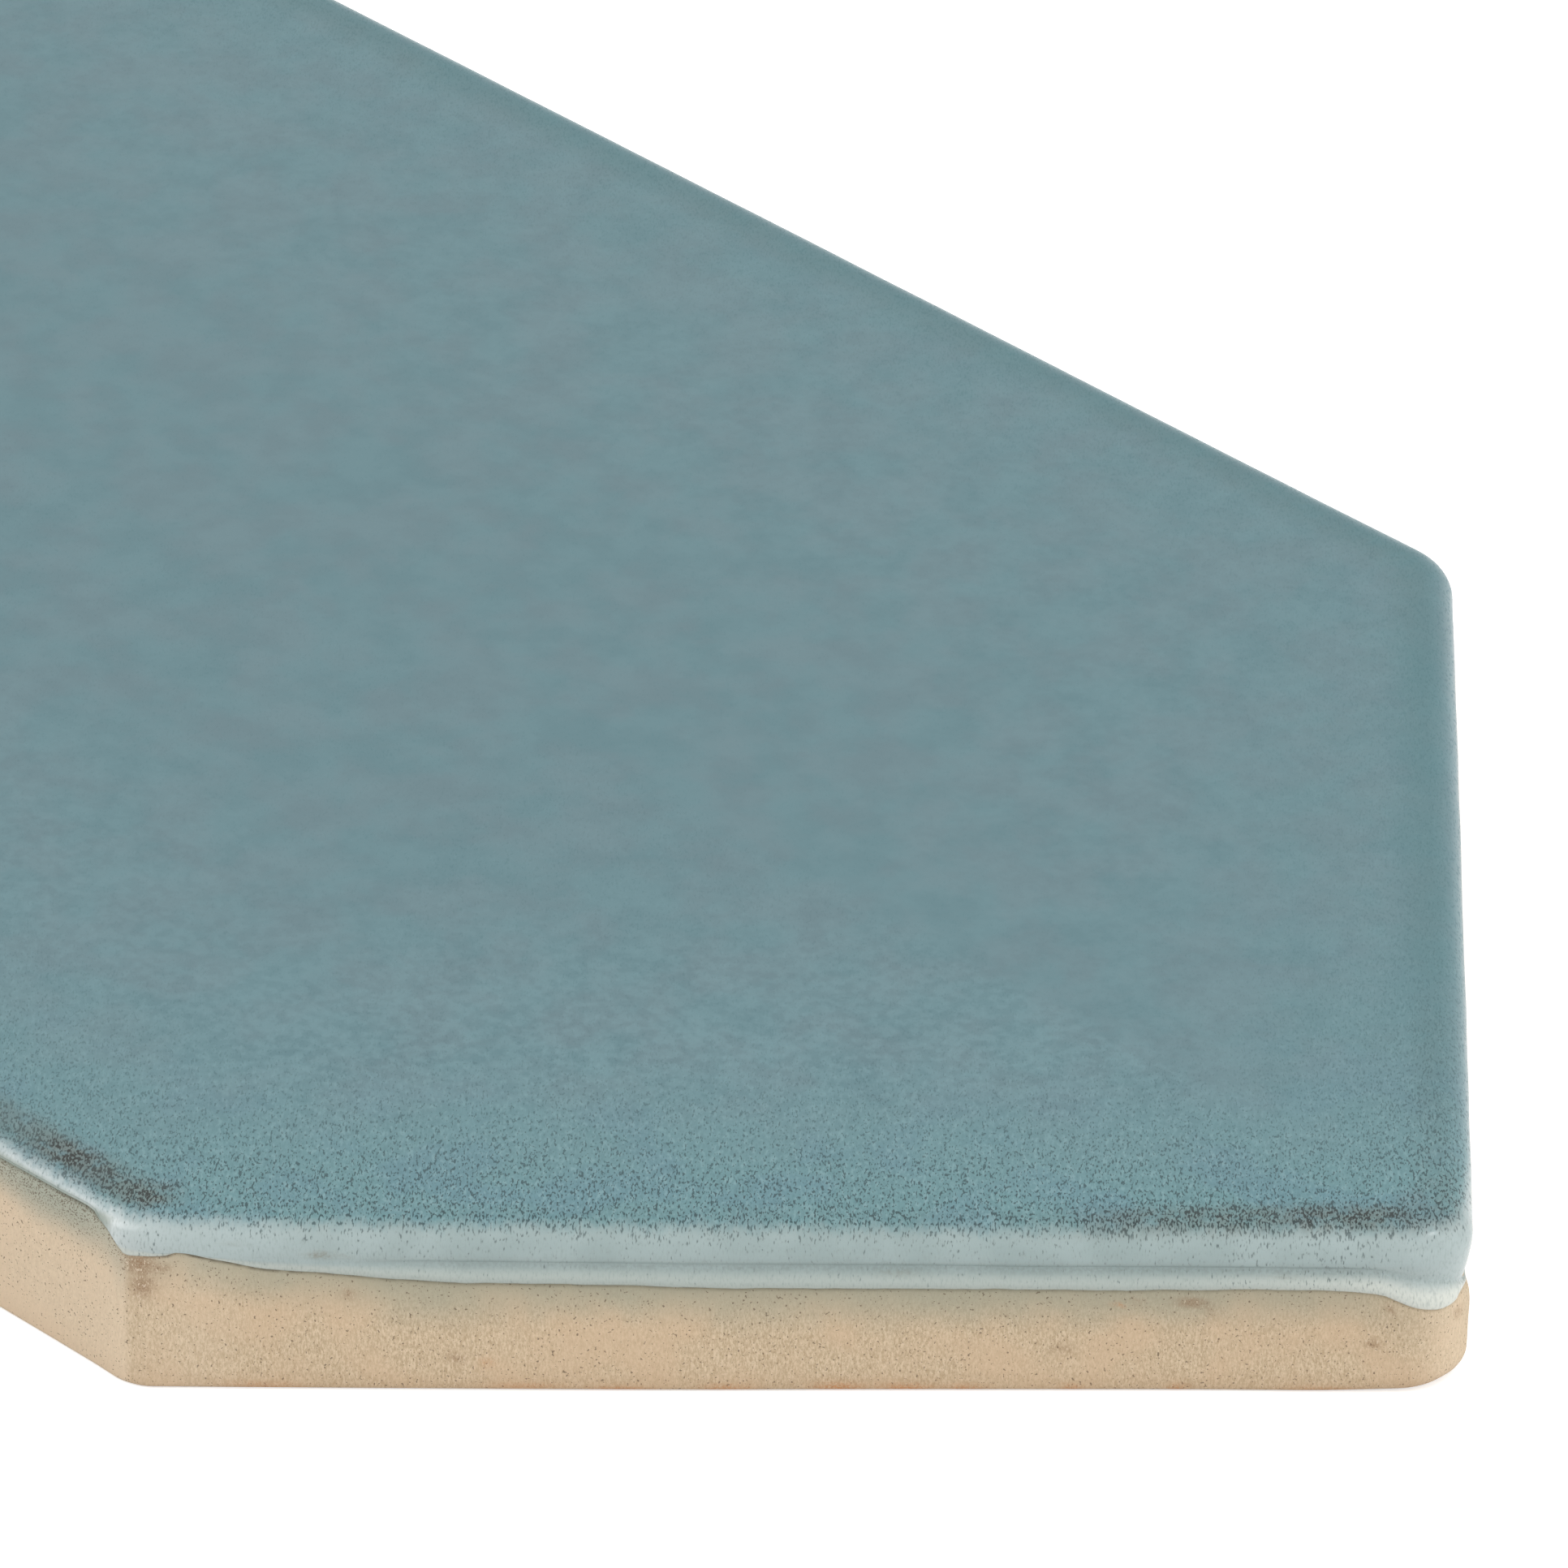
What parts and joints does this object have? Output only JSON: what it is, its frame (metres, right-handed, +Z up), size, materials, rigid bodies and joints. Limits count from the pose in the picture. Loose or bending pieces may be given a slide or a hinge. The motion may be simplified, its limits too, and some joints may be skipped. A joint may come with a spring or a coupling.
{
  "type": "picket ceramic tile",
  "caption": "Long six-sided picket wall tile with pointed ends, a blue-grey glazed face rolled over its edges, a bare buff clay flank and a ribbed key back for bedding in adhesive.",
  "frame": {"origin": "middle of the back's plane, on the floor under the tile's centre", "axes": "+X along the length to one tip, +Y across to one long side, +Z up out of the glazed face"},
  "size_m": [0.304, 0.076, 0.0075],
  "materials": {
    "glaze": "blue-grey glaze, fine dark specks, breaking to pale blue-white over the edges",
    "bare_clay": "matte"
  },
  "bodies": {
    "root": {"picket_tile": "glaze"}
  },
  "joints": []
}
